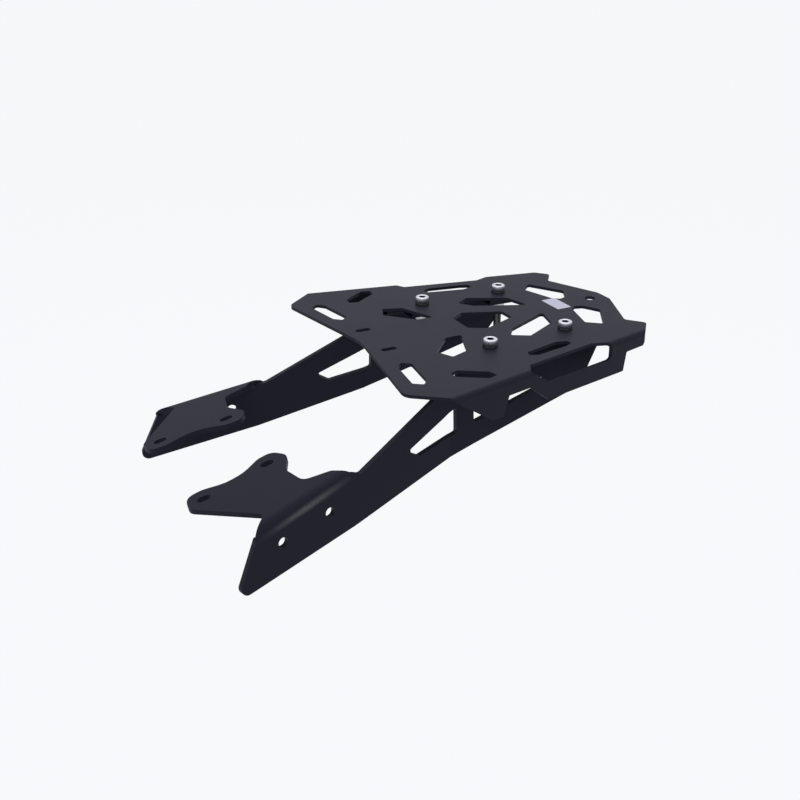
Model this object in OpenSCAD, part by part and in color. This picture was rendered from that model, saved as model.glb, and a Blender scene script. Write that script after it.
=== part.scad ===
// Motorcycle luggage rack: a folded top plate bolted to two folded side brackets.
// Sizes are in mm. +X points to the front of the bike, +Y to its left and +Z up.
// The origin lies midway between the four slots in the bracket ears.

/* [Top plate] */
// Sheet thickness of the top plate
plate_t = 3; // [2:0.5:4]
// Width over the folded sides at their front ends
plate_front_w = 290; // [280:1:300]
// Width over the folded sides at their rear ends
plate_rear_w = 194; // [190:1:204]
// Length of the folded sides along the bike
side_len = 227; // [222:1:236]
// Distance from the front screws forward to the front ends of the folded sides
plate_ahead = 82; // [78:1:88]
// Distance that the front corners stand ahead of the folded sides
nose_len = 34; // [31:1:38]
// Width between the front corners
nose_w = 236; // [230:1:244]
// Distance that the middle of the front edge lies behind the front corners
nose_dip = 20; // [14:1:24]
// Distance that the rear middle stands behind the folded sides
tail_len = 27; // [24:1:32]
// Width between the two rear horns
horn_w = 159; // [155:1:164]
// Distance that the horns stand behind the folded sides
horn_len = 15; // [13:1:18]
// Outer radius of the fold
plate_fold_r = 5; // [4:0.5:7]

/* [Folded sides] */
// Height of the folded sides below the top face
side_drop = 32; // [30:1:36]
// Height of the stepped parts of the folded sides
side_step = 14.5; // [14:0.5:17]
// Length of the slanted front edge of the folded side
side_slant = 42; // [38:1:46]
// Length of the flat foot behind the slanted front edge
side_foot = 12; // [10:1:14]
// Length of the notch behind the front foot
side_notch = 28; // [24:1:30]
// Distance from the long lower rail back to the rear end of the folded side
side_rail_end = 27; // [25:1:32]

/* [Side windows] */
// Distance from the front screws back to the front end of the window
window_start = 1; // [0:0.5:3]
// Distance from the window back to the rear end of the folded side
window_behind = 43.5; // [42:0.5:48]
// Distance that the window reaches into the top face
window_in = 11.5; // [10:0.5:13]
// Distance that the window reaches down the folded side
window_down = 16; // [15:0.5:18]

/* [Openings in the plate] */
// Diameter of the hole in the tail
tail_hole_d = 10.5; // [8:0.5:12]
// Distance from the tail hole to the rear end of the plate
tail_hole_edge = 18.5; // [16:0.5:22]
// Length of the two small front slots
front_slot_len = 15; // [12:1:18]
// Width of the two small front slots
front_slot_w = 6.5; // [5:0.5:8]
// Distance between the two small front slots
front_slot_gap = 52; // [48:1:58]
// Width of the two front strap openings
strap_w = 14; // [12:0.5:15]
// Inset of the outer openings from the folded sides
outer_inset = 25; // [24:0.5:27]
// Rounding of the corners of the openings
opening_r = 2; // [1:0.5:2.5]

/* [Side brackets] */
// Sheet thickness of the brackets
bracket_t = 5; // [4:0.5:6]
// Inner radius of the folds
bracket_fold_r = 5; // [3:0.5:6]
// Room between the nuts and the bends of the brackets
nut_room = 1.3; // [0.5:0.1:3.5]
// Angle that the upright faces lean outward at the bottom
lean = 2.9; // [0:0.1:5]
// Distance that the tabs reach inboard of the screws
tab_in = 13; // [11:0.5:15]
// Length of the front tab ahead of the front screw
tab_front = 43; // [40:1:46]
// Length of the front tab behind the front screw
tab_mid = 22; // [18:1:26]
// Gap between the front and the rear tab
tab_gap = 13; // [10:1:15]
// Length of the bracket behind the front screw
bracket_back = 107; // [104:1:111]
// Distance from the front screw forward to the upright bend
arm_start = 55.5; // [53:0.5:58]
// Angle that the arm splays outward from the rear part
arm_splay = 8.6; // [7:0.2:10]
// Length of the arm along its lower edge
arm_len = 227; // [224:0.5:231]
// Depth of the upper edge at the upright bend
arm_top_drop = 18.3; // [16:0.1:21]
// Depth of the lower edge at the upright bend
arm_drop = 85.5; // [83:0.5:88]
// Depth of the lower edge at its kink
kink_drop = 114.5; // [112:0.5:117]
// Distance from the upright bend to the kink of the lower edge
kink_at = 106; // [100:1:112]
// Depth of the tip of the arm
tip_drop = 140.7; // [138:0.1:143]
// Depth of the rear lower corner
rear_drop = 47.3; // [45:0.1:49]
// Width of the rails below the bracket openings
rail_w = 20; // [17:0.5:22]
// Diameter of the two holes in each arm
arm_hole_d = 9; // [7:0.5:10]
// Distance from the tip of the arm back to its rear hole
arm_hole_back = 95.2; // [92:0.1:100]
// Distance between the two holes of the arm
arm_hole_pitch = 47; // [42:1:50]
// Height of the holes above the lower edge
arm_hole_up = 26.5; // [24:0.5:28]

/* [Ears] */
// Slope of the ears
ear_tilt = 12.6; // [11.6:0.1:13.4]
// Angle that the ears open beyond a square fold
ear_open = 2.7; // [0:0.1:4]
// Depth of the ear face where it would meet the upright bend
ear_drop = 39.6; // [38:0.1:41]
// Distance from the outer face to the front slot
ear_out = 72.5; // [69:0.5:75]
// Distance from the outer face to the rear slot
ear_in = 69; // [66:0.5:72]
// Distance from the tip of the arm back to the rear slot
ear_back = 78.5; // [76:0.5:81]
// Distance along the fold between the two slots
ear_pitch = 62; // [58:1:66]
// Length of the ear slots
ear_slot_len = 12; // [10:0.5:15]
// Width of the ear slots
ear_slot_w = 7; // [6:0.5:8.5]

/* [Screws] */
// Distance between the front screws across the rack
screws_front_w = 125; // [122:1:128]
// Distance between the rear screws across the rack
screws_rear_w = 115; // [113:1:118]
// Distance between the front and the rear screws along the rack
screw_pitch = 83.5; // [80:0.5:87]
// Diameter of the screws
screw_d = 8; // [6:1:8]
// Length of the screws under the head
screw_len = 40; // [30:1:45]
// Diameter of the screw heads
head_d = 13; // [12:0.5:14]
// Height of the screw heads
head_h = 5.5; // [5:0.5:8]
// Width of the hex socket across its flats
socket_af = 6; // [4:0.5:7]
// Depth of the hex socket
socket_depth = 3.5; // [2.5:0.5:4]
// Height of the lock washers
washer_h = 2.2; // [1.5:0.1:3]
// Width of the nuts across their flats
nut_af = 13; // [12:0.5:14]
// Height of the nuts
nut_h = 6.5; // [5:0.5:8]
// Play of the screws in the sheet holes
hole_play = 1; // [0.5:0.1:1.5]
// Play of the screws in the nuts and washers
ring_play = 0.3; // [0.2:0.1:0.6]

/* [Hidden] */
$fn = 48;
over = 1;
side_taper = (plate_front_w - plate_rear_w) / 2 / side_len;
side_turn = atan(side_taper);
toe = atan((screws_front_w - screws_rear_w) / 2 / screw_pitch);
arm_turn = toe + arm_splay;
side_end = side_len - plate_ahead;
plate_end = side_end + tail_len;
screw_step = screw_pitch / cos(toe);
fold_out = bracket_fold_r + bracket_t;
face_out = nut_af / 2 + nut_room + fold_out;
tab_top = -plate_t;
tab_bottom = tab_top - bracket_t;
tip_fall = (tip_drop - kink_drop) / (arm_len - kink_at);
arm_fall = (kink_drop - arm_drop) / kink_at;
rear_end = -bracket_back + 17;
rear_rise = (arm_drop - rear_drop) / (arm_start - rear_end);
window_len = side_end - window_start - window_behind;
arm_hole_start = arm_len - arm_hole_back;
ear_start = arm_len - ear_back;

// Turns of a point about the three axes
function turn_x(p, a) = [p[0], p[1] * cos(a) - p[2] * sin(a), p[1] * sin(a) + p[2] * cos(a)];
function turn_y(p, a) = [p[0] * cos(a) + p[2] * sin(a), p[1], p[2] * cos(a) - p[0] * sin(a)];
function turn_z(p, a) = [p[0] * cos(a) - p[1] * sin(a), p[0] * sin(a) + p[1] * cos(a), p[2]];

// Slot centres on the ear face, then the same points seen from the front screw
ear_slots = [[ear_start + ear_pitch, -ear_out], [ear_start, -ear_in]];
function on_arm(s) = turn_y(turn_x([s[0], s[1], 0], -ear_open), ear_tilt) + [0, bracket_t, -ear_drop];
function on_sheet(p) = turn_z(p, arm_splay) + [arm_start, -bracket_t, -tab_top];
function on_rack(p) = turn_z(turn_x(on_sheet(p), lean) + [0, face_out, tab_top], toe);
slot_a = on_rack(on_arm(ear_slots[0]));
slot_b = on_rack(on_arm(ear_slots[1]));
screw_back = (slot_a[0] + slot_b[0]) / 2;
rack_h = -(slot_a[2] + slot_b[2]) / 2;

// Outline helpers: each point is [x, y, corner radius]
function unit(v) = v / norm(v);
function flat(p) = [p[0], p[1]];
function corner(a, b, c, r) =
    r <= 0 ? [b] :
    let (
        u = unit(a - b),
        v = unit(c - b),
        half = acos(u * v) / 2,
        centre = b + unit(u + v) * r / sin(half),
        first = b + u * r / tan(half) - centre,
        last = b + v * r / tan(half) - centre,
        a0 = atan2(first[1], first[0]),
        swing = (atan2(last[1], last[0]) - a0 + 540) % 360 - 180,
        steps = max(2, ceil(abs(swing) / 15))
    )
    [for (i = [0:steps]) centre + r * [cos(a0 + swing * i / steps), sin(a0 + swing * i / steps)]];
function rounded(pts) = [
    for (i = [0:len(pts) - 1])
        let (n = len(pts))
        each corner(flat(pts[(i + n - 1) % n]), flat(pts[i]), flat(pts[(i + 1) % n]), pts[i][2])
];
function with_radius(pts, r) = [for (p = pts) [p[0], p[1], r]];
function slot_shape(len, w) = [
    for (i = [-6:6]) [(len - w) / 2 + w / 2 * cos(i * 15), w / 2 * sin(i * 15)],
    for (i = [6:18]) [-(len - w) / 2 + w / 2 * cos(i * 15), w / 2 * sin(i * 15)]
];

// Plan points of the plate: distance behind the front screws and distance out from the middle
function half_at(d) = plate_front_w / 2 - (d + plate_ahead) * side_taper;
function plan(pts) = [for (p = pts) [-(screw_back + p[0]), p[1], p[2]]];
function mirrored(pts) = [for (i = [len(pts) - 1:-1:0]) [pts[i][0], -pts[i][1], pts[i][2]]];

module upright(pts, y_from, y_to) {
    translate([0, y_to, 0])
        rotate([90, 0, 0])
            linear_extrude(y_to - y_from)
                polygon(pts);
}

// Cross section of a folded sheet: corner at the origin, one leg inward and one leg down,
// which leans outward by the given angle
function fold_arc(t, r, open) =
    let (c = -(r * tan((90 - open) / 2)))
    [for (i = [0:6]) let (a = 90 - (90 - open) * i / 6) [c + (r - t) * cos(a), -r + (r - t) * sin(a)]];
function folded(inward, down, t, r, open) = concat(
    [[-inward, 0]],
    fold_arc(0, r, open),
    [
        [down * sin(open), -down * cos(open)],
        [down * sin(open) - t * cos(open), -down * cos(open) - t * sin(open)]
    ],
    [for (i = [6:-1:0]) fold_arc(t, r, open)[i]],
    [[-inward, -t]]
);

module fold_bar(length, inward, down, t, r, open = 0) {
    rotate([90, 0, 90])
        linear_extrude(length)
            polygon(folded(inward, down, t, r, open));
}

// Top plate
nose_tip = [-plate_ahead - nose_len, nose_w / 2];
horn_tip = [side_end + horn_len, horn_w / 2];

plate_half = [
    [nose_tip[0], nose_tip[1], 11],
    [-plate_ahead, plate_front_w / 2, 0],
    [side_end, plate_rear_w / 2, 0],
    [horn_tip[0], horn_tip[1], 4],
    [side_end + 2, horn_w / 2 - 16, 4],
    [plate_end - 2, 10, 8]
];
plate_outline = rounded(plan(concat(
    [[nose_tip[0] + nose_dip, 0, 60]],
    plate_half,
    mirrored(plate_half)
)));

// One half of the plate: a folded sheet, cut to the side's profile and to the plate's outline
module half_plate() {
    intersection() {
        translate([-(screw_back - plate_ahead), plate_front_w / 2, 0])
            rotate([0, 0, side_turn])
                difference() {
                    translate([-side_len - 70, 0, 0])
                        fold_bar(side_len + 150, plate_front_w, side_drop + over, plate_t, plate_fold_r);
                    upright(below_side(), -plate_fold_r - over, over);
                }
        translate([0, 0, -side_drop - 2 * over])
            linear_extrude(side_drop + 4 * over)
                polygon(plate_outline);
        translate([-screw_back - plate_end - over, -over, -side_drop - 3 * over])
            cube([plate_end - nose_tip[0] + 2 * over, plate_front_w, side_drop + 6 * over]);
    }
}

function along(d) = -(d + plate_ahead) / cos(side_turn);
function side_points(pts) = [for (p = pts) [along(p[0] - plate_ahead), p[1], p[2]]];
side_foot_end = side_slant + side_foot;
side_rail_start = side_foot_end + side_notch + 19;
side_rail = side_len - side_rail_end - side_rail_start;
fold_under = -plate_t - 0.5;
function below_side() = rounded(side_points([
    [-70, fold_under, 0],
    [-1, fold_under, 0],
    [side_slant - 2, -side_drop, 9],
    [side_foot_end - 2, -side_drop, 2],
    [side_foot_end + 4, -side_step, 0],
    [side_rail_start - 19, -side_step, 0],
    [side_rail_start + 4, -side_drop, 1],
    [side_rail_start + side_rail, -side_drop, 1.5],
    [side_rail_start + side_rail + 3, -side_step + 0.5, 1],
    [side_len - 1.5, -side_step + 1, 2],
    [side_len, -side_step + 4, 0],
    [side_len, fold_under, 0],
    [side_len + 60, fold_under, 0],
    [side_len + 60, -side_drop - 3 * over, 0],
    [-70, -side_drop - 3 * over, 0]
]));

window_end = window_start + window_len;
function from_start(pts) = [for (p = pts) [along(p[0] + window_start), p[1], p[2]]];
module side_window() {
    translate([-(screw_back - plate_ahead), plate_front_w / 2, 0])
        rotate([0, 0, side_turn])
            intersection() {
                translate([0, 0, -window_down - over])
                    linear_extrude(window_down + 2 * over)
                        polygon(rounded(from_start([
                            [-0.5, over, 0],
                            [-0.5, 0, 0],
                            [9, -window_in, opening_r],
                            [window_len - 16, -window_in, opening_r],
                            [window_len - 1.5, -3, 0],
                            [window_len, 0, 0],
                            [window_len, over, 0]
                        ])));
                upright(rounded(from_start([
                    [-0.5, over, 0],
                    [-0.5, 0, 0],
                    [11, -window_down / 2, 2],
                    [22, -window_down, 2],
                    [window_len - 1, -window_down, 5],
                    [window_len, -plate_fold_r, 0],
                    [window_len, over, 0]
                ])), -window_in - over, 2 * over);
            }
}

centre_opening = [
    [6, 14], [21.5, 23], [57, 8.5], [57, -8.5], [21.5, -23], [6, -14]
];
front_opening = [[-48, 51.5], [-41, 67.5], [-23, 61], [-8.5, 26], [-25, 26.5]];
rear_opening = [[31, 47.5], [46.5, 57], [82, 38.2], [89, 12.3], [41, 34.5]];
function from_tail(pts) = [for (p = pts) [side_end - p[0], p[1]]];
tail_opening = from_tail([[35, 52], [22, 63], [2, 30.5], [10.5, 14.5], [18, 12], [24.5, 16.5]]);

function strap_opening() = [
    [-94, 65], [-99.5, 102], [-91.5, 108], [-85.5, 101], [-94 + strap_w, 65], [-87, 58.5]
];
function from_side(pts) = [for (p = pts) [p[0], half_at(p[0]) - outer_inset - p[1]]];
upper_slant = from_side([[-61.5, 17.5], [-60.5, 8.5], [-37.7, -11.5], [-28.2, -10.8], [-30, -1.5], [-53, 18.5]]);
rear_slant = from_side([[19, 3.5], [21.5, 9], [57.5, 10], [67.7, 5], [68.2, -1], [60, -3], [27, -2]]);

module through(pts) {
    translate([0, 0, -plate_t - over])
        linear_extrude(plate_t + 2 * over)
            polygon(rounded(plan(with_radius(pts, opening_r))));
}

module screw_hole(depth, d) {
    translate([0, 0, -depth - over])
        cylinder(h = depth + 2 * over, d = d);
}

module at_screws(side, row) {
    mirror([0, side == "left" ? 0 : 1, 0])
        translate([-screw_back, screws_front_w / 2, rack_h])
            rotate([0, 0, toe])
                translate([row == "front" ? 0 : -screw_step, 0, 0])
                    children();
}

module top_plate() {
    color([0.07, 0.07, 0.08])
    difference() {
        translate([0, 0, rack_h])
        difference() {
            union() {
                half_plate();
                mirror([0, 1, 0])
                    half_plate();
            }
            through(centre_opening);
            translate([-(screw_back + plate_end - tail_hole_edge), 0, 0])
                screw_hole(plate_t, tail_hole_d);
            for (m = [0, 1])
                mirror([0, m, 0]) {
                    through(front_opening);
                    through(rear_opening);
                    through(tail_opening);
                    through(strap_opening());
                    through(upper_slant);
                    through(rear_slant);
                    side_window();
                    translate([-(screw_back - plate_ahead), front_slot_gap / 2, -plate_t - over])
                        linear_extrude(plate_t + 2 * over)
                            polygon(slot_shape(front_slot_len, front_slot_w));
                }
        }
        for (side = ["left", "right"])
            for (row = ["front", "rear"])
                at_screws(side, row)
                    screw_hole(plate_t, screw_d + hole_play);
    }
}

// Side brackets, drawn for the left side with the front screw at the origin
opening_front = 7.3;
tab_rear = tab_mid + tab_gap;
function lower_at(x) = -arm_drop + (arm_start - x) * rear_rise;
function arm_lower_at(a) =
    a < kink_at ? -arm_drop - a * arm_fall : -kink_drop - (a - kink_at) * tip_fall;
function fold_at(a) = -ear_drop - a * tan(ear_tilt);
valley_at = ear_start - 50.5;
valley = [valley_at, fold_at(valley_at) - 7.8];
arm_top_slope = (-arm_top_drop - valley[1]) / valley_at;
function arm_top_at(a) = valley[1] + (valley[0] - a) * arm_top_slope;

module rear_part() {
    intersection() {
        translate([-bracket_back - over, face_out, tab_top])
            fold_bar(bracket_back + arm_start + over, face_out + tab_in, arm_drop + 5, bracket_t, fold_out, lean);
        upright(rounded([
            [arm_start, -arm_drop, 0],
            [arm_start, arm_top_at(0), 0],
            [tab_front + 4, arm_top_at(tab_front + 4 - arm_start), 3],
            [tab_front, tab_top - 1, 0],
            [tab_front, tab_top + over, 0],
            [-tab_mid, tab_top + over, 0],
            [-tab_mid, tab_bottom - 10, 3],
            [25, tab_bottom - 10, 3],
            [30, tab_bottom - 15, 3],
            [30, lower_at(30) + rail_w, 2],
            [-34, lower_at(-34) + rail_w, 3],
            [-tab_rear - 12, tab_bottom - 26, 3],
            [-tab_rear, tab_bottom + 2, 0],
            [-tab_rear, tab_top + over, 0],
            [-bracket_back, tab_top + over, 0],
            [-bracket_back, -19.5, 4],
            [rear_end, -rear_drop, 2]
        ]), -tab_in - over, face_out + 10);
    }
}

module arm() {
    upright(rounded([
        [-0.7, arm_lower_at(-0.7), 0],
        [kink_at, -kink_drop, 60],
        [arm_len, -tip_drop, 6.5],
        [arm_len - 28, fold_at(arm_len - 28) - fold_out + 0.3, 0],
        [valley[0] + 11, fold_at(valley[0] + 11) - fold_out + 1, 0],
        [valley[0] + 8, fold_at(valley[0] + 8) - 6, 0],
        [valley[0], valley[1], 3],
        [-0.7, arm_top_at(-0.7), 0]
    ]), 0, bracket_t);
}

// Points of the ear: distance along the fold, distance in from the fold and corner radius
ear_end = ear_start + ear_pitch;
function ear_outline() = rounded([
    for (p = [
        [ear_end - 5.5, -3, 0],
        [ear_end - 5.5, 0, 0],
        [ear_end - 10.5, 3, 5],
        [ear_end - 14.5, 9.6, 0],
        [ear_end - 19, 14.5, 3],
        [ear_end + 16.5, ear_out - 1.5, 9],
        [ear_end + 9.5, ear_out + 13.2, 10],
        [ear_end - 5, ear_out + 12, 18],
        [ear_start + 38, ear_in + 6.5, 30],
        [ear_start + 20, ear_in + 6, 30],
        [ear_start + 1, ear_in + 12.4, 14],
        [ear_start - 12.5, ear_in + 11, 10],
        [ear_start - 19, ear_in - 4, 9],
        [ear_start - 4.6, ear_in - 21, 8],
        [ear_start - 4.6, 24, 8],
        [ear_start - 27.5, 15, 6],
        [ear_start - 31.5, 9.5, 3],
        [ear_start - 37, 3.5, 0],
        [ear_start - 44, 0.3, 0],
        [ear_start - 45, -3, 0]
    ]) [p[0], -p[1], p[2]]
]);

module ear() {
    translate([0, bracket_t, -ear_drop])
        rotate([0, ear_tilt, 0])
            rotate([-ear_open, 0, 0])
                difference() {
                    intersection() {
                        translate([ear_start - 68.5, 0, 0])
                            fold_bar(180, ear_out + 30, fold_out + 3, bracket_t, fold_out, ear_open);
                        translate([0, 0, -fold_out - 4])
                            linear_extrude(fold_out + 5)
                                polygon(ear_outline());
                    }
                    for (s = ear_slots)
                        translate([s[0], s[1], -bracket_t - over])
                            rotate([0, 0, -arm_turn])
                                linear_extrude(bracket_t + 2 * over)
                                    polygon(slot_shape(ear_slot_len, ear_slot_w));
                }
}

// The opening between the two rails crosses the upright bend, so both sheets have a share of it
function opening_top(a) = arm_top_at(a) - 25 + a * 0.06;
function opening_low(a) = arm_lower_at(a) + rail_w + a * 0.05;
module arm_opening() {
    upright(rounded([
        [45.5, opening_top(45.5), 1.5],
        [45, opening_low(45) + 8, 1.5],
        [35, opening_low(35), 2],
        [-4, opening_low(-4), 0],
        [-4, opening_top(-4), 0]
    ]), -over, bracket_t + over);
}

module rear_opening() {
    upright(rounded([
        [arm_start + 4, opening_low(4), 0],
        [arm_start + 4, opening_top(4), 0],
        [arm_start - opening_front, opening_top(-opening_front), 2],
        [arm_start - opening_front, opening_low(-opening_front), 2]
    ]), face_out - bracket_t - over, face_out + 10);
}

module on_lean() {
    translate([0, face_out, tab_top])
        rotate([lean, 0, 0])
            translate([arm_start, -bracket_t, -tab_top])
                rotate([0, 0, arm_splay])
                    children();
}

module bracket() {
    translate([-screw_back, screws_front_w / 2, rack_h])
        rotate([0, 0, toe])
            difference() {
                union() {
                    rear_part();
                    on_lean() {
                        arm();
                        ear();
                    }
                }
                rear_opening();
                on_lean() {
                    arm_opening();
                    for (i = [0, 1])
                        let (a = arm_hole_start + i * arm_hole_pitch)
                        translate([a, bracket_t / 2, arm_lower_at(a) + arm_hole_up])
                            rotate([90, 0, 0])
                                cylinder(h = bracket_t + 2 * over, d = arm_hole_d, center = true);
                }
                for (x = [0, -screw_step])
                    translate([x, 0, tab_top])
                        screw_hole(bracket_t, screw_d + hole_play);
            }
}

module left_bracket() {
    color([0.08, 0.08, 0.09])
        bracket();
}

module right_bracket() {
    color([0.08, 0.08, 0.09])
        mirror([0, 1, 0])
            bracket();
}

module cap_screw() {
    color([0.75, 0.76, 0.78])
        translate([0, 0, washer_h])
            difference() {
                rotate_extrude()
                    polygon([
                        [0, -screw_len],
                        [screw_d / 2 - 0.8, -screw_len],
                        [screw_d / 2, -screw_len + 0.8],
                        [screw_d / 2, 0],
                        [head_d / 2, 0],
                        [head_d / 2, head_h - 1],
                        [head_d / 2 - 0.3, head_h - 0.3],
                        [head_d / 2 - 1, head_h],
                        [0, head_h]
                    ]);
                translate([0, 0, head_h - socket_depth])
                    cylinder(h = socket_depth + over, d = socket_af / cos(30), $fn = 6);
            }
}

module lock_washer() {
    color([0.25, 0.25, 0.27])
        difference() {
            cylinder(h = washer_h, d = head_d + 0.6);
            translate([0, 0, -over])
                cylinder(h = washer_h + 2 * over, d = screw_d + ring_play);
        }
}

module hex_nut() {
    color([0.7, 0.71, 0.73])
        translate([0, 0, tab_bottom - nut_h])
            difference() {
                cylinder(h = nut_h, d = nut_af / cos(30), $fn = 6);
                translate([0, 0, -over])
                    cylinder(h = nut_h + 2 * over, d = screw_d + ring_play);
            }
}

top_plate();
left_bracket();
right_bracket();
at_screws("left", "front") cap_screw();  // screw_front_left
at_screws("right", "front") cap_screw();  // screw_front_right
at_screws("left", "rear") cap_screw();  // screw_rear_left
at_screws("right", "rear") cap_screw();  // screw_rear_right
at_screws("left", "front") lock_washer();  // washer_front_left
at_screws("right", "front") lock_washer();  // washer_front_right
at_screws("left", "rear") lock_washer();  // washer_rear_left
at_screws("right", "rear") lock_washer();  // washer_rear_right
at_screws("left", "front") hex_nut();  // nut_front_left
at_screws("right", "front") hex_nut();  // nut_front_right
at_screws("left", "rear") hex_nut();  // nut_rear_left
at_screws("right", "rear") hex_nut();  // nut_rear_right
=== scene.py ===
import math

import bmesh
import bpy
from mathutils import Matrix, Vector


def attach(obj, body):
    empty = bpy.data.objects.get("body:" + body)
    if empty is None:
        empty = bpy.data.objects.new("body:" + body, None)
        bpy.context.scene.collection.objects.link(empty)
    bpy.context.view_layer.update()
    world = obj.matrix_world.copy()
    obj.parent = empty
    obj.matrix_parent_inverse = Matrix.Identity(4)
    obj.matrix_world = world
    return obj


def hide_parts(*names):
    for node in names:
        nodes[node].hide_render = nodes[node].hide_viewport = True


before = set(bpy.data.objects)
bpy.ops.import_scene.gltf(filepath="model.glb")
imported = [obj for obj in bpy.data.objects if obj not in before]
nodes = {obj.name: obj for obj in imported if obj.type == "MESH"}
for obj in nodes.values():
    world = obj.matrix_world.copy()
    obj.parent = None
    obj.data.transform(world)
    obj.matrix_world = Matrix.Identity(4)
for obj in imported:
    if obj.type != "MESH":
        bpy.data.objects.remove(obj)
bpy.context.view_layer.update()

# Sizes below are in mm, and MM turns them into metres
MM = 0.001
ROWS = ("front", "rear")
SIDES = ("left", "right")


def screw_spot(row, side):
    """Middle of the washer's underside, which is where the screw goes through the plate's top face."""
    spots = [vert.co for vert in nodes[f"washer_{row}_{side}"].data.vertices]
    low = [min(spot[axis] for spot in spots) for axis in range(3)]
    high = [max(spot[axis] for spot in spots) for axis in range(3)]
    return Vector(((low[0] + high[0]) / 2, (low[1] + high[1]) / 2, low[2]))


FRONT_SCREW = screw_spot("front", "left")
REAR_SCREW = screw_spot("rear", "left")
# The brackets stand nearer to each other at the back
TOE = math.atan2(FRONT_SCREW.y - REAR_SCREW.y, FRONT_SCREW.x - REAR_SCREW.x)
# Midway between the front screws, on the plate
PLATE_SPOT = Vector((FRONT_SCREW.x, 0, FRONT_SCREW.z))

# Sheets and bolts
PLATE_T = 3.0
SHEET_T = 5.0
WASHER_T = 2.2
HOLE_R = 4.2

# Screws, with heights over the washer
SHANK_R = 4.0
HEAD_R = 6.3
HEAD_H = 5.5
SOCKET_IN = 3.0
SOCKET_FLOOR = 2.0
SOCKET_TIP = 1.4
SOCKET_MOUTH = 5.15
SEAT_GAP = 0.02
KNURL_R = 6.28
KNURL_OUT = 0.2
KNURL_TEETH = 48
HEAD_POINTS = 240
SHANK_POINTS = 48
SHANK_LEN = 40.0
SHANK_END_R = 3.1
PLAIN_LEN = 12.5
THREAD_R = 3.42
THREAD_OUT = 0.56
THREAD_PITCH = 1.25
THREAD_STEPS = 4
THREAD_RUN_OUT = 0.7

# Lock washers
RIM_R = 6.45
RIM_TOOTH = 0.32
RIM_WAVE = 0.12
RIM_TEETH = 24
RIM_STEPS = 216
RIM_SPLIT = 6

# Nuts
NUT_TOP = -PLATE_T - SHEET_T
NUT_BOTTOM = NUT_TOP - 6.5
NUT_IN = 6.5
NUT_POINTS = 120

# Brackets: x runs forward from the front screw, y outward and z up from the plate's top face
FOLD_R = 10.0
FOLD_STEPS = 6
FACE_OUT = 17.8
LEAN = math.radians(2.9)
LIP = 1.0
BEND_AT = 55.5
SPLAY = math.radians(8.6)
EAR_DOWN = 39.6
EAR_SLOPE = math.radians(12.6)
EAR_OPEN = math.radians(2.7)
# Pieces that are joined to a sheet stand back from its faces by this much
INSET = 0.01

# What is cut from the tabs' ends, and the slanted rear edge in x and z
TAB_CUTS = ((17, 44), (-68, -34))
REAR_EDGE = (
    (-120, -8.5), (-107.5, -8.5), (-105, -12.3), (-94.5, -31),
    (-84.2, -44.5), (-74, -58), (-74, -90), (-120, -90),
)
# Closed sheet between the tabs: its ends, its height, and what is open below it in x and z
WEB_ENDS = (-60, 34)
WEB_H = 40
WEB_BELOW = (
    (35, -30.5), (30, -30.5), (27.5, -28.1), (-42, -31), (-46.5, -33.6),
    (-47, -34.4), (-61, -34.4), (-61, -60), (35, -60),
)
# Straight front edge of the arm in x and z, and of the bend up to the ear in x and y
ARM_FRONT = (
    (196, -92.4), (203.0, -92.4), (204.0, -94.6),
    (219.6, -128.4), (213.7, -131.1), (196, -110),
)
BEND_ENDS = (186, 222)
BEND_IN = 16
BEND_H = 11
BEND_AHEAD = (
    (190.6, -30), (190.6, -15.4), (196.3, -9.6), (210.8, -0.2),
    (211.0, 2), (240, 2), (240, -30),
)
# The upright part turns outward behind this place, by a share of the distance
TURN_FROM = 30.0
TURN_SHARE = 0.028
# What is further inward than this stays, with the tabs' holes
TAB_SIDE = 7

# Painted highlight along the bend of an ear: its middle and its reach along, around and out of the
# bend
HIGHLIGHT_MIDDLE = Vector((158, 0.12, -7.41))
HIGHLIGHT_REACH = (56, 4.2, 4)
HIGHLIGHT_TURN = math.radians(15)
HIGHLIGHT_SLANT = 0.041

# Blank label, placed from midway between the front screws
LABEL_BACK = 115
LABEL_ASIDE = -2.0
LABEL_HALF_L = 7.6
LABEL_HALF_W = 14.2
LABEL_T = 0.12
LABEL_R = 1.0

# Colours
COAT_LOW = (0.0195, 0.0195, 0.0300)
COAT_HIGH = (0.0225, 0.0225, 0.0345)
COAT_SHEEN = (0.72, 0.72, 1.0)
# Pale colour of the painted highlight along the ears' bends
BEND_HIGHLIGHT = (0.160, 0.160, 0.168)
PAPER_LOW = (0.75, 0.74, 0.90)
PAPER_HIGH = (0.80, 0.79, 0.94)
BACKDROP = (0.930, 0.939, 0.956)
SKY = (0.90, 0.93, 1.0)
SKY_STRENGTH = 0.36
FLOOR_LOW = (0.80, 0.81, 0.83)
FLOOR_HIGH = (0.82, 0.83, 0.85)
FLOOR_GLOW = (0.895, 0.904, 0.921)
FLOOR_SHADE = (0.08, 0.08, 0.08)

# Studio, in metres
FLOOR_HALF = 14.0
FLOOR_Z = -0.45
RACK_MIDDLE = (-0.18, 0.0, 0.02)

# Camera fitted to the photo: its place in mm from midway between the front screws, and its view
PHOTO_PX = 800.0
FOCAL_PX = 1170.0
SENSOR = 36.0
CAMERA_SPOT = Vector((517.7, 875.0, 387.7))
CAMERA_FORWARD = Vector((-0.42335, -0.80460, -0.41642))
CAMERA_DOWN = Vector((0.19442, 0.36824, -0.90917))


# Node helpers
def new_material(name):
    mat = bpy.data.materials.new(name)
    mat.use_nodes = True
    tree = mat.node_tree
    tree.nodes.clear()
    out = tree.nodes.new("ShaderNodeOutputMaterial")
    shader = tree.nodes.new("ShaderNodeBsdfPrincipled")
    join(tree, shader, "BSDF", out, "Surface")
    return mat, tree, shader


def join(tree, source, out, target, into):
    tree.links.new(source.outputs[out], target.inputs[into])


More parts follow.
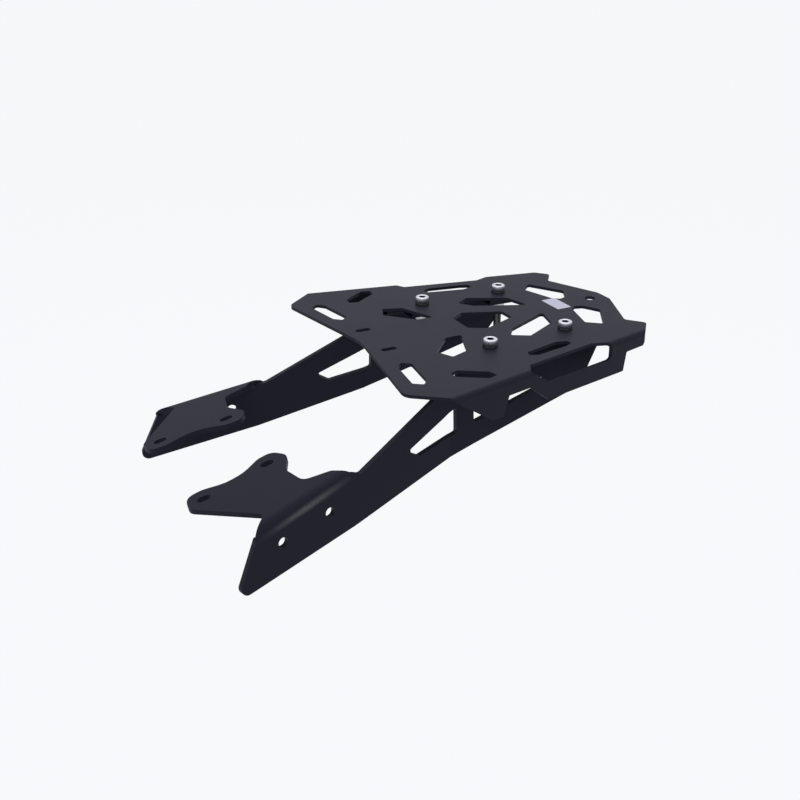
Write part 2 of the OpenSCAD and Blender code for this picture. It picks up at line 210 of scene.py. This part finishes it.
def noise(tree, coords, scale, detail):
    node = tree.nodes.new("ShaderNodeTexNoise")
    node.inputs["Scale"].default_value = scale
    node.inputs["Detail"].default_value = detail
    join(tree, coords, "Object", node, "Vector")
    return node


def map_range(tree, source, out, low, high):
    node = tree.nodes.new("ShaderNodeMapRange")
    node.inputs["To Min"].default_value = low
    node.inputs["To Max"].default_value = high
    join(tree, source, out, node, "Value")
    return node


def colour_mix(tree, factor, out, first, second):
    node = tree.nodes.new("ShaderNodeMix")
    node.data_type = "RGBA"
    node.inputs["A"].default_value = (*first, 1)
    node.inputs["B"].default_value = (*second, 1)
    join(tree, factor, out, node, "Factor")
    return node


def math_node(tree, operation):
    node = tree.nodes.new("ShaderNodeMath")
    node.operation = operation
    return node


def bump(tree, source, out, strength, depth, shader):
    node = tree.nodes.new("ShaderNodeBump")
    node.inputs["Strength"].default_value = strength
    node.inputs["Distance"].default_value = depth
    join(tree, source, out, node, "Height")
    join(tree, node, "Normal", shader, "Normal")


def distance(tree, coords, direction, middle):
    """Distance of a point from the middle, along a direction."""
    along = tree.nodes.new("ShaderNodeVectorMath")
    along.operation = "DOT_PRODUCT"
    join(tree, coords, "Object", along, 0)
    along.inputs[1].default_value = direction
    gap = math_node(tree, "SUBTRACT")
    join(tree, along, "Value", gap, 0)
    gap.inputs[1].default_value = direction.dot(middle)
    size = math_node(tree, "ABSOLUTE")
    join(tree, gap, "Value", size, 0)
    return size


def painted_highlight(tree, coords, tone, middle, reaches):
    """The tone with a pale grainy painted highlight that fades out within a reach along each
    direction.
    """
    amount = map_range(tree, noise(tree, coords, 700.0, 2.0), "Fac", 0.30, 1.30)
    for direction, reach in reaches:
        band = tree.nodes.new("ShaderNodeMapRange")
        band.interpolation_type = "SMOOTHSTEP"
        band.inputs["From Max"].default_value = reach
        band.inputs["To Min"].default_value = 1.0
        band.inputs["To Max"].default_value = 0.0
        join(tree, distance(tree, coords, direction, middle), "Value", band, "Value")
        less = math_node(tree, "MULTIPLY")
        join(tree, amount, 0, less, 0)
        join(tree, band, "Result", less, 1)
        amount = less
    pale = colour_mix(tree, amount, "Value", BEND_HIGHLIGHT, BEND_HIGHLIGHT)
    join(tree, tone, "Result", pale, "A")
    return pale


# Materials
def black_coat(name, highlight=None):
    """Powder coat, where the optional argument gives the middle of a painted highlight and its reaches
    in metres.
    """
    mat, tree, shader = new_material(name)
    coords = tree.nodes.new("ShaderNodeTexCoord")
    cloud = noise(tree, coords, 22.0, 3.0)
    tone = colour_mix(tree, cloud, "Fac", COAT_LOW, COAT_HIGH)
    if highlight is not None:
        tone = painted_highlight(tree, coords, tone, *highlight)
    join(tree, tone, "Result", shader, "Base Color")
    rough = map_range(tree, cloud, "Fac", 0.46, 0.54)
    join(tree, rough, "Result", shader, "Roughness")
    shader.inputs["Specular IOR Level"].default_value = 0.10
    shader.inputs["Specular Tint"].default_value = (*COAT_SHEEN, 1)
    bump(tree, noise(tree, coords, 1500.0, 2.0), "Fac", 0.12, 0.0002, shader)
    return mat


def steel(name, low, high, rough_low, rough_high, scale=300.0, strength=0.05):
    mat, tree, shader = new_material(name)
    coords = tree.nodes.new("ShaderNodeTexCoord")
    fine = noise(tree, coords, scale, 3.0)
    tone = colour_mix(tree, fine, "Fac", low, high)
    join(tree, tone, "Result", shader, "Base Color")
    rough = map_range(tree, fine, "Fac", rough_low, rough_high)
    join(tree, rough, "Result", shader, "Roughness")
    shader.inputs["Metallic"].default_value = 1.0
    bump(tree, fine, "Fac", strength, 0.0001, shader)
    return mat


def label_paper():
    mat, tree, shader = new_material("blank label")
    coords = tree.nodes.new("ShaderNodeTexCoord")
    fine = noise(tree, coords, 400.0, 3.0)
    tone = colour_mix(tree, fine, "Fac", PAPER_LOW, PAPER_HIGH)
    join(tree, tone, "Result", shader, "Base Color")
    shader.inputs["Roughness"].default_value = 0.55
    bump(tree, fine, "Fac", 0.05, 0.0001, shader)
    return mat


COAT = black_coat("black powder coat")
BRIGHT = steel("bright steel", (0.54, 0.54, 0.60), (0.68, 0.68, 0.74), 0.26, 0.36)
# Darker than the bright steel as painted shade on the knurled sides of the screw heads
SHADED_GREY = steel("grey steel with painted shade", (0.34, 0.34, 0.38), (0.50, 0.50, 0.55), 0.34, 0.46, 900.0, 0.1)
DULL = steel("dull steel", (0.10, 0.10, 0.11), (0.15, 0.15, 0.16), 0.42, 0.54)
# The lock washers' own dark steel, also used in the screws' hex sockets as painted shade in the recess
DARK = steel("dark spring steel and painted socket shade", (0.035, 0.035, 0.04), (0.06, 0.06, 0.065), 0.40, 0.52)
ZINC = steel("zinc-plated steel", (0.50, 0.51, 0.52), (0.62, 0.63, 0.65), 0.30, 0.42)


# Mesh helpers
def new_object(name, bm):
    mesh = bpy.data.meshes.new(name)
    bm.to_mesh(mesh)
    bm.free()
    ob = bpy.data.objects.new(name, mesh)
    bpy.context.scene.collection.objects.link(ob)
    return ob


def finished(name, bm, mats, smooth_angle):
    """A piece of the picture, with its normals and materials."""
    bmesh.ops.recalc_face_normals(bm, faces=bm.faces)
    bm.normal_update()
    ob = new_object(name, bm)
    for mat in mats:
        ob.data.materials.append(mat)
    for face in ob.data.polygons:
        face.use_smooth = True
    ob.data.set_sharp_from_angle(angle=math.radians(smooth_angle))
    return ob


def paint(node, mat):
    mesh = nodes[node].data
    mesh.materials.clear()
    mesh.materials.append(mat)


def turned_point(bm, angle, radius, z):
    return bm.verts.new((radius * math.cos(angle) * MM, radius * math.sin(angle) * MM, z * MM))


def ring(bm, radius, z, count, depth=0.0, teeth=0):
    """Circle of points, with teeth that stand out by a depth."""
    verts = []
    for i in range(count):
        angle = 2 * math.pi * i / count
        tooth = 0.5 + 0.5 * math.cos(angle * teeth)
        verts.append(turned_point(bm, angle, radius + depth * tooth, z))
    return verts


def hexagon(bm, inside, z, count, turn=0.0, limit=math.inf):
    """Points along a hexagon, which a limit on their reach can take the corners off."""
    verts = []
    for i in range(count):
        angle = 2 * math.pi * i / count
        reach = inside / math.cos((angle + turn) % (math.pi / 3) - math.pi / 6)
        verts.append(turned_point(bm, angle, min(reach, limit), z))
    return verts


def bridge(bm, first, second, mat=0):
    count = len(first)
    for i in range(count):
        j = (i + 1) % count
        face = bm.faces.new((first[i], first[j], second[j], second[i]))
        face.material_index = mat


def fan(bm, loop, tip, mat):
    count = len(loop)
    for i in range(count):
        face = bm.faces.new((loop[i], loop[(i + 1) % count], tip))
        face.material_index = mat


# Screws, washers and nuts, each with its origin where the screw goes through the plate's top face
# The rim takes the bright steel, the knurled side the darker grey steel as painted shade, and the
# socket the dark steel as painted shade in the recess
SCREW_MATS = [BRIGHT, SHADED_GREY, DARK, DULL]
RIM, SIDE, SOCKET, SHANK = range(len(SCREW_MATS))


def screw_head(bm):
    """Hex socket, rounded rim and knurled side, down to the seat on the washer."""
    floor = hexagon(bm, SOCKET_IN, WASHER_T + SOCKET_FLOOR, HEAD_POINTS, math.pi / 6)
    mouth = hexagon(bm, SOCKET_IN, WASHER_T + SOCKET_MOUTH, HEAD_POINTS, math.pi / 6)
    fan(bm, floor, bm.verts.new((0, 0, (WASHER_T + SOCKET_TIP) * MM)), SOCKET)
    bridge(bm, floor, mouth, SOCKET)
    last = mouth
    rim = ((3.75, HEAD_H), (5.2, HEAD_H), (5.75, 5.38), (6.1, 5.1), (HEAD_R, 4.7), (HEAD_R, 4.55))
    for radius, height in rim:
        now = ring(bm, radius, WASHER_T + height, HEAD_POINTS)
        bridge(bm, last, now, RIM)
        last = now
    for height in (4.3, 0.5):
        now = ring(bm, KNURL_R, WASHER_T + height, HEAD_POINTS, KNURL_OUT, KNURL_TEETH)
        bridge(bm, last, now, SIDE)
        last = now
    for radius in (6.1, SHANK_R):
        now = ring(bm, radius, WASHER_T + SEAT_GAP, HEAD_POINTS)
        bridge(bm, last, now, SIDE)
        last = now


def screw_shank(bm):
    """Plain through the sheets, then a wound thread down to the chamfered end."""
    last = ring(bm, SHANK_R, WASHER_T, SHANK_POINTS)
    plain_end = ring(bm, SHANK_R, WASHER_T - PLAIN_LEN, SHANK_POINTS)
    bridge(bm, last, plain_end, SHANK)
    last = plain_end
    step = THREAD_PITCH / THREAD_STEPS
    wound = SHANK_LEN - THREAD_RUN_OUT - PLAIN_LEN
    for j in range(int(wound / step)):
        z = -PLAIN_LEN - 0.05 - (j + 1) * step
        now = []
        for i in range(SHANK_POINTS):
            phase = (z / THREAD_PITCH + i / SHANK_POINTS) % 1.0
            radius = THREAD_R + THREAD_OUT * (1 - abs(2 * phase - 1))
            now.append(turned_point(bm, 2 * math.pi * i / SHANK_POINTS, radius, WASHER_T + z))
        bridge(bm, last, now, SHANK)
        last = now
    end = ring(bm, SHANK_END_R, WASHER_T - SHANK_LEN, SHANK_POINTS)
    bridge(bm, last, end, SHANK)
    fan(bm, end, bm.verts.new((0, 0, (WASHER_T - SHANK_LEN) * MM)), SHANK)


def cap_screw(name):
    bm = bmesh.new()
    screw_head(bm)
    screw_shank(bm)
    return finished(name, bm, SCREW_MATS, 40)


def lock_washer(name):
    """A split ring with a toothed rim."""
    bm = bmesh.new()
    loops = []
    for i in range(RIM_STEPS - RIM_SPLIT):
        angle = 2 * math.pi * i / RIM_STEPS
        outer = RIM_R + RIM_TOOTH * (0.5 + 0.5 * math.cos(angle * RIM_TEETH))
        rise = RIM_WAVE * math.sin(angle * RIM_TEETH)
        section = (
            (HOLE_R, 0.05),
            (outer, 0.05),
            (outer + 0.02, 1.0 + rise),
            (outer - 0.3, 2.05 + 0.5 * rise),
            (HOLE_R, 2.1),
        )
        loops.append([turned_point(bm, angle, radius, z) for radius, z in section])
    for first, second in zip(loops, loops[1:]):
        bridge(bm, first, second)
    bm.faces.new(loops[0])
    bm.faces.new(loops[-1][::-1])
    return finished(name, bm, [DARK], 35)


def hex_nut(name):
    """A nut with chamfered corners and a plain bore that is countersunk at the bottom."""
    bm = bmesh.new()
    seat = NUT_TOP - SEAT_GAP
    rows = [ring(bm, HOLE_R, seat, NUT_POINTS)]
    chamfers = (
        (seat, 6.55),
        (NUT_TOP - 0.5, 7.1),
        (NUT_TOP - 0.9, 7.5),
        (NUT_BOTTOM + 0.9, 7.5),
        (NUT_BOTTOM + 0.5, 7.1),
        (NUT_BOTTOM, 6.55),
    )
    for z, limit in chamfers:
        rows.append(hexagon(bm, NUT_IN, z, NUT_POINTS, limit=limit))
    rows.append(ring(bm, 4.5, NUT_BOTTOM, NUT_POINTS))
    rows.append(ring(bm, HOLE_R, NUT_BOTTOM + 0.4, NUT_POINTS))
    for first, second in zip(rows, rows[1:] + rows[:1]):
        bridge(bm, first, second)
    return finished(name, bm, [ZINC], 35)


BOLT_PIECES = (
    ("screw", cap_screw, BRIGHT),
    ("washer", lock_washer, DARK),
    ("nut", hex_nut, ZINC),
)
for row in ROWS:
    for side in SIDES:
        turn = TOE if side == "left" else -TOE
        place = Matrix.Translation(screw_spot(row, side)) @ Matrix.Rotation(turn, 4, "Z")
        for kind, make, mat in BOLT_PIECES:
            node = f"{kind}_{row}_{side}"
            paint(node, mat)
            shown = make(f"shown_{node}")
            shown.matrix_world = place
            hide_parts(node)
            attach(shown, "root")


# Brackets: copies of the solids, with the shorter tabs and the closed sheet of the photo
def prism(name, outline, axis, ends):
    """A closed solid with an outline in two axes, which runs along the third one between its ends."""
    bm = bmesh.new()
    loops = []
    for end in ends:
        points = [[*point[:axis], end, *point[axis:]] for point in outline]
        loops.append([bm.verts.new([c * MM for c in point]) for point in points])
    bridge(bm, *loops)
    bm.faces.new(loops[0][::-1])
    bm.faces.new(loops[1])
    bmesh.ops.recalc_face_normals(bm, faces=bm.faces)
    return new_object(name, bm)


def cut(ob, tool):
    """Takes the tool's solid away from a solid."""
    step = ob.modifiers.new("cut", "BOOLEAN")
    step.operation = "DIFFERENCE"
    step.solver = "EXACT"
    step.object = tool
    bpy.context.view_layer.update()
    evaluated = ob.evaluated_get(bpy.context.evaluated_depsgraph_get())
    shaped = bpy.data.meshes.new_from_object(evaluated)
    ob.modifiers.clear()
    ob.data = shaped
    bpy.data.objects.remove(tool)


def bend_start(opening):
    """Distance from the corner that a fold rounds off to where its bend starts."""
    return FOLD_R * math.tan((math.pi / 2 - opening) / 2)


def bend_arc(opening, depth):
    """Points around a bend, at a depth in the sheet."""
    points = []
    for i in range(FOLD_STEPS + 1):
        angle = math.pi / 2 - (math.pi / 2 - opening) * i / FOLD_STEPS
        radius = FOLD_R - depth
        along = radius * math.cos(angle) - bend_start(opening)
        points.append((along, radius * math.sin(angle) - FOLD_R))
    return points


def folded_section(opening, inward, down, out, up):
    """Outline across a folded sheet: a flat part, the bend and a face that leans outward below."""
    sin, cos = math.sin(opening), math.cos(opening)
    foot = [
        (down * sin, -down * cos),
        (down * sin - SHEET_T * cos, -down * cos - SHEET_T * sin),
    ]
    inner = bend_arc(opening, SHEET_T)[::-1]
    points = [(-inward, 0)] + bend_arc(opening, 0) + foot + inner + [(-inward, -SHEET_T)]
    return [(y + out - INSET, z + up - INSET) for y, z in points]


def in_metres(matrix):
    result = matrix.copy()
    result.translation *= MM
    return result


def arm_frame():
    """Frame of the splayed arm, with its outer face at y = SHEET_T."""
    leaning = Matrix.Translation((0, FACE_OUT, -PLATE_T)) @ Matrix.Rotation(LEAN, 4, "X")
    bend = Matrix.Translation((BEND_AT, -SHEET_T, PLATE_T))
    return leaning @ bend @ Matrix.Rotation(SPLAY, 4, "Z")


def ear_frame():
    """Frame of the ear, with the corner that its bend rounds off as the x axis."""
    corner = Matrix.Translation((0, SHEET_T, -EAR_DOWN))
    slope = Matrix.Rotation(EAR_SLOPE, 4, "Y")
    return arm_frame() @ corner @ slope @ Matrix.Rotation(-EAR_OPEN, 4, "X")


def arm_front():
    """The straight front edge of the arm."""
    piece = prism("arm front", ARM_FRONT, 1, (INSET, SHEET_T - INSET))
    piece.data.transform(in_metres(arm_frame()))
    return piece


def bend_front():
    """The straight front edge of the bend between arm and ear."""
    piece = prism("bend front", folded_section(EAR_OPEN, BEND_IN, BEND_H, 0, 0), 0, BEND_ENDS)
    cut(piece, prism("ahead", BEND_AHEAD, 2, (-30, 5)))
    piece.data.transform(in_metres(ear_frame()))
    return piece


def web():
    """The upright sheet with its bend, which closes the top between the tabs."""
    section = folded_section(LEAN, bend_start(LEAN) + LIP, WEB_H, FACE_OUT, -PLATE_T)
    piece = prism("web", section, 0, WEB_ENDS)
    cut(piece, prism("below", WEB_BELOW, 1, (0, 40)))
    return piece


def solid_copy(node, place):
    """A copy of the node's solid, in the bracket's own frame."""
    bm = bmesh.new()
    bm.from_mesh(nodes[node].data)
    bmesh.ops.remove_doubles(bm, verts=bm.verts, dist=1e-6)
    bm.transform(place.inverted())
    bmesh.ops.recalc_face_normals(bm, faces=bm.faces)
    return new_object("bracket", bm)


def trim(ob):
    """Shortens the tabs and slants the rear edge."""
    inner = FACE_OUT - bend_start(LEAN) - LIP
    tab = ((-30, -9), (inner, -9), (inner, -2), (-30, -2))
    for ends in TAB_CUTS:
        cut(ob, prism("tab", tab, 0, ends))
    cut(ob, prism("behind", REAR_EDGE, 1, (5, 40)))


def turn_outward(bm):
    """Turns the upright part behind the arm a little outward."""
    parts = bm.verts[:] + bm.edges[:] + bm.faces[:]
    at = (TURN_FROM * MM, 0, 0)
    bmesh.ops.bisect_plane(bm, geom=parts, dist=1e-6, plane_co=at, plane_no=(1, 0, 0))
    for vert in bm.verts:
        behind = TURN_FROM - vert.co.x / MM
        if behind > 0 and vert.co.y > TAB_SIDE * MM:
            vert.co.y += behind * TURN_SHARE * MM


def ear_highlight(place):
    """Middle, directions and reaches of the painted highlight on the bend of the ear."""
    ear = place @ in_metres(ear_frame())
    turn = ear.to_3x3()
    directions = (
        Vector((1, 0, 0)),
        Vector((HIGHLIGHT_SLANT, -math.sin(HIGHLIGHT_TURN), math.cos(HIGHLIGHT_TURN))),
        Vector((0, math.cos(HIGHLIGHT_TURN), math.sin(HIGHLIGHT_TURN))),
    )
    reaches = [(turn @ direction, reach * MM) for direction, reach in zip(directions, HIGHLIGHT_REACH)]
    return ear @ (HIGHLIGHT_MIDDLE * MM), reaches


def shown_bracket(side):
    node = f"{side}_bracket"
    flip = Matrix.Diagonal((1, 1 if side == "left" else -1, 1, 1))
    place = flip @ Matrix.Translation(FRONT_SCREW) @ Matrix.Rotation(TOE, 4, "Z")
    solid = solid_copy(node, place)
    trim(solid)
    bm = bmesh.new()
    bm.from_mesh(solid.data)
    bpy.data.objects.remove(solid)
    bmesh.ops.remove_doubles(bm, verts=bm.verts, dist=2e-5)
    bmesh.ops.dissolve_limit(bm, angle_limit=math.radians(0.3), verts=bm.verts, edges=bm.edges)
    for piece in (web(), arm_front(), bend_front()):
        bm.from_mesh(piece.data)
        bpy.data.objects.remove(piece)
    turn_outward(bm)
    bm.transform(place)
    # Each bracket's coat carries the painted highlight along its ear's bend
    coat = black_coat(f"coat {side}", ear_highlight(place))
    ob = finished(f"shown_{node}", bm, [coat], 30)
    ob.modifiers.new("normals", "WEIGHTED_NORMAL").keep_sharp = True
    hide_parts(node)
    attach(ob, "root")


for node in ("top_plate", "left_bracket", "right_bracket"):
    paint(node, COAT)
for side in SIDES:
    shown_bracket(side)


# Blank label on the plate
def label():
    corner_steps = 4
    outline = []
    for along, across, start in ((1, 1, 0), (-1, 1, 90), (-1, -1, 180), (1, -1, 270)):
        for i in range(corner_steps + 1):
            angle = math.radians(start + 90 * i / corner_steps)
            x = along * (LABEL_HALF_L - LABEL_R) + LABEL_R * math.cos(angle)
            y = across * (LABEL_HALF_W - LABEL_R) + LABEL_R * math.sin(angle)
            outline.append((x * MM, y * MM))
    bm = bmesh.new()
    low = [bm.verts.new((x, y, 0)) for x, y in outline]
    high = [bm.verts.new((x, y, LABEL_T * MM)) for x, y in outline]
    bridge(bm, low, high)
    bm.faces.new(high)
    bm.faces.new(low[::-1])
    ob = finished("blank_label", bm, [label_paper()], 30)
    ob.matrix_world = Matrix.Translation(PLATE_SPOT + Vector((-LABEL_BACK, LABEL_ASIDE, 0)) * MM)
    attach(ob, "root")


label()


# Floor and backdrop
def seen_ray(tree):
    """1 for camera, glossy and transmission rays, 0 for the light that falls on the object."""
    path = tree.nodes.new("ShaderNodeLightPath")
    seen = math_node(tree, "MAXIMUM")
    join(tree, path, "Is Camera Ray", seen, 0)
    join(tree, path, "Is Glossy Ray", seen, 1)
    any_seen = math_node(tree, "MAXIMUM")
    join(tree, seen, "Value", any_seen, 0)
    join(tree, path, "Is Transmission Ray", any_seen, 1)
    return any_seen


def floor_material():
    mat = bpy.data.materials.new("pale floor")
    mat.use_nodes = True
    tree = mat.node_tree
    tree.nodes.clear()
    coords = tree.nodes.new("ShaderNodeTexCoord")
    tone = colour_mix(tree, noise(tree, coords, 0.6, 2.0), "Fac", FLOOR_LOW, FLOOR_HIGH)
    lit = tree.nodes.new("ShaderNodeBsdfDiffuse")
    join(tree, tone, "Result", lit, "Color")
    # The camera and the metal see a pale glow and a little of the lit floor, which holds the shadow
    shade = tree.nodes.new("ShaderNodeBsdfDiffuse")
    shade.inputs["Color"].default_value = (*FLOOR_SHADE, 1)
    glow = tree.nodes.new("ShaderNodeEmission")
    glow.inputs["Color"].default_value = (*FLOOR_GLOW, 1)
    glow.inputs["Strength"].default_value = 1.0
    both = tree.nodes.new("ShaderNodeAddShader")
    join(tree, shade, "BSDF", both, 0)
    join(tree, glow, "Emission", both, 1)
    above = tree.nodes.new("ShaderNodeMixShader")
    join(tree, seen_ray(tree), "Value", above, 0)
    join(tree, lit, "BSDF", above, 1)
    join(tree, both, "Shader", above, 2)
    # From below the sheet is clear, so that the underside can be looked at
    side = tree.nodes.new("ShaderNodeNewGeometry")
    clear = tree.nodes.new("ShaderNodeBsdfTransparent")
    whole = tree.nodes.new("ShaderNodeMixShader")
    join(tree, side, "Backfacing", whole, 0)
    join(tree, above, "Shader", whole, 1)
    join(tree, clear, "BSDF", whole, 2)
    join(tree, whole, "Shader", tree.nodes.new("ShaderNodeOutputMaterial"), "Surface")
    return mat


def studio_floor():
    bm = bmesh.new()
    for x, y in ((-1, -1), (1, -1), (1, 1), (-1, 1)):
        bm.verts.new((x * FLOOR_HALF, y * FLOOR_HALF, FLOOR_Z))
    bm.faces.new(bm.verts)
    ob = new_object("floor", bm)
    ob.data.materials.append(floor_material())


def background(tree, colour, strength):
    node = tree.nodes.new("ShaderNodeBackground")
    node.inputs["Color"].default_value = (*colour, 1)
    node.inputs["Strength"].default_value = strength
    return node


def studio_world():
    """Pale backdrop for the camera, soft grey light for the object."""
    world = bpy.data.worlds.new("studio")
    bpy.context.scene.world = world
    world.use_nodes = True
    tree = world.node_tree
    tree.nodes.clear()
    mix = tree.nodes.new("ShaderNodeMixShader")
    join(tree, seen_ray(tree), "Value", mix, 0)
    join(tree, background(tree, SKY, SKY_STRENGTH), "Background", mix, 1)
    join(tree, background(tree, BACKDROP, 1.0), "Background", mix, 2)
    join(tree, mix, "Shader", tree.nodes.new("ShaderNodeOutputWorld"), "Surface")


def softbox(name, at, width, height, power, tint):
    data = bpy.data.lights.new(name, "AREA")
    data.shape = "RECTANGLE"
    data.size = width
    data.size_y = height
    data.energy = power
    data.color = tint
    ob = bpy.data.objects.new(name, data)
    bpy.context.scene.collection.objects.link(ob)
    ob.location = at
    aim = Vector(RACK_MIDDLE) - Vector(at)
    ob.rotation_euler = aim.to_track_quat("-Z", "Y").to_euler()


studio_floor()
studio_world()
softbox("top light", (-0.5, -0.5, 1.6), 1.8, 1.8, 10, (0.93, 0.94, 1.0))
softbox("side light", (1.2, 1.4, 0.9), 1.2, 1.0, 7, (0.95, 0.96, 1.0))


# Camera
def photo_camera():
    data = bpy.data.cameras.new("camera")
    ob = bpy.data.objects.new("camera", data)
    bpy.context.scene.collection.objects.link(ob)
    data.sensor_fit = "HORIZONTAL"
    data.sensor_width = SENSOR
    data.lens = FOCAL_PX / PHOTO_PX * SENSOR
    data.clip_start = 0.05
    data.clip_end = 50.0
    forward = CAMERA_FORWARD.normalized()
    right = forward.cross(-CAMERA_DOWN).normalized()
    up = right.cross(forward).normalized()
    turn = Matrix((right, up, -forward)).transposed().to_4x4()
    ob.matrix_world = Matrix.Translation(PLATE_SPOT + CAMERA_SPOT * MM) @ turn
    bpy.context.scene.camera = ob


photo_camera()
bpy.context.scene.view_settings.view_transform = "Standard"
